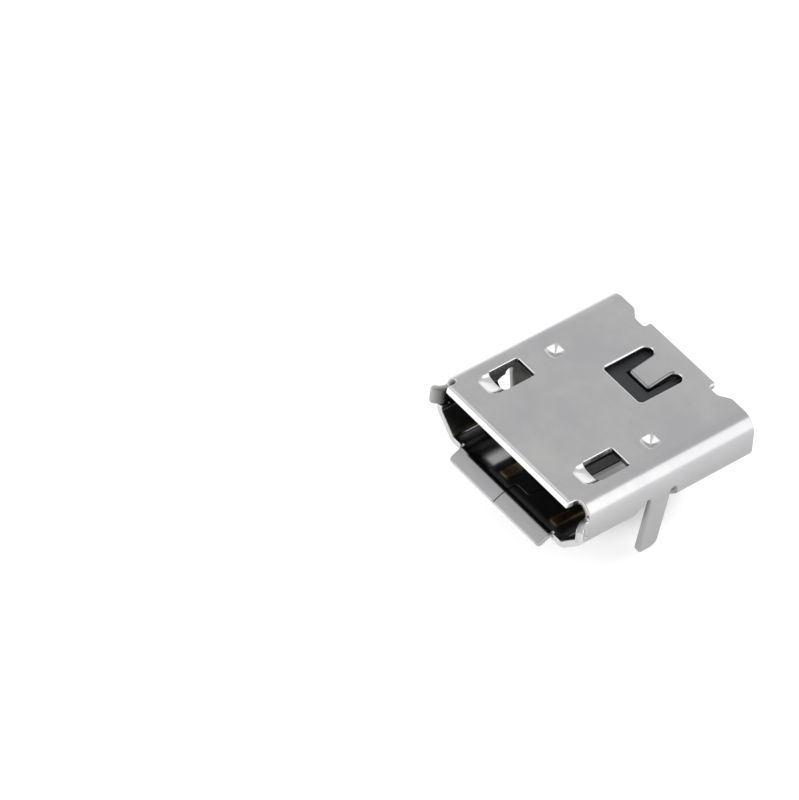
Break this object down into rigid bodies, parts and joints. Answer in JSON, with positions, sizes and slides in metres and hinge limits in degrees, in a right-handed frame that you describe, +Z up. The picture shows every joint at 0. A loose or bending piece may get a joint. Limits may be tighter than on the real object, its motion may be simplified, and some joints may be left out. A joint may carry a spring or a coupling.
{
  "type": "micro usb socket",
  "caption": "Folded sheet-metal micro USB socket with a flared mouth, latch windows, solder feet and a dark insulator holding power contacts with straight through-board tails.",
  "frame": {"origin": "on the board seating plane, midway between the two solder feet", "axes": "+Z up from the board, -Y out of the mouth, +X to the right looking into the mouth"},
  "size_m": [0.008, 0.008, 0.0047],
  "materials": {
    "nickel_shell": "satin nickel plating on stamped steel sheet",
    "dark_plastic": "fine matt moulded surface",
    "plated_contact": "bright tin on the tails, thin gold on the strips along the tongue"
  },
  "bodies": {
    "root": {"shell": "nickel_shell", "insulator": "dark_plastic", "left_contact": "plated_contact", "right_contact": "plated_contact"}
  },
  "joints": []
}
